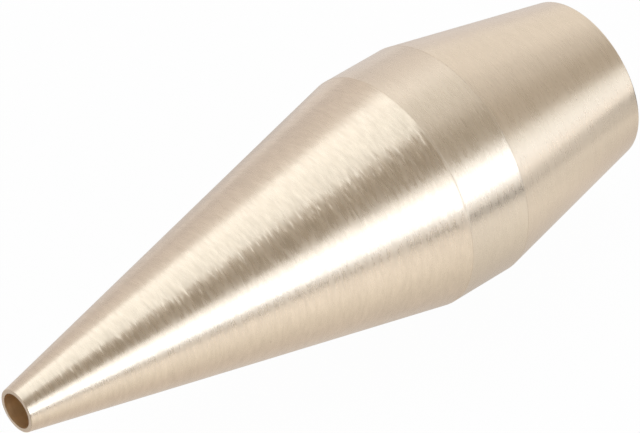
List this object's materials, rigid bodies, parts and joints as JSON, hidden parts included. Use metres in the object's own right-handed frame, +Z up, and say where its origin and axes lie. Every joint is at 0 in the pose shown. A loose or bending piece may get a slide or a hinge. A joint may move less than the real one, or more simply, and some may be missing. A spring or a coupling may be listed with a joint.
{
  "type": "oil burner nozzle",
  "caption": "Turned nozzle with a long tapering nose, a parallel band and a tapered tail; the nose screws off to reach a strainer; meters and swirls oil to a thin-lipped mouth.",
  "frame": {"origin": "centre of the rear face, where the oil enters", "axes": "-Y along the nozzle's axis, from the rear face towards the tip; +Z up, with the nozzle level as a burner holds it"},
  "size_m": [0.0142, 0.0415, 0.0142],
  "materials": {
    "turned_nose": "pale alloy, turned, with round tool marks",
    "turned_band": "pale alloy, finely turned",
    "turned_tail": "pale alloy, smooth satin",
    "stainless_steel": "ground",
    "plain_brass": "turned",
    "screw_brass": "turned",
    "sintered_bronze": "porous, matt",
    "soft_copper": "soft, dull"
  },
  "bodies": {
    "tail": {"tail_sleeve": "turned_tail", "strainer": "sintered_bronze", "seal_washer": "soft_copper"},
    "collar": {"collar_band": "turned_band"},
    "nose": {"nose_cone": "turned_nose", "orifice_insert": "stainless_steel", "swirl_distributor": "plain_brass", "lock_screw": "screw_brass"}
  },
  "joints": [
    {"name": "collar_slide", "type": "slide", "parent": "tail", "child": "collar", "axis": [0, -1, 0], "range_m": [0, 0.0045]},
    {"name": "nose_unscrew", "type": "hinge", "parent": "collar", "child": "nose", "pos_m": [0, -0.0148, 0], "axis": [0, -1, 0], "range_deg": [0, 1620]}
  ],
  "couplings": [
    {"joint": "nose_unscrew", "follows": "collar_slide", "rad_per_m": 6283.2}
  ]
}
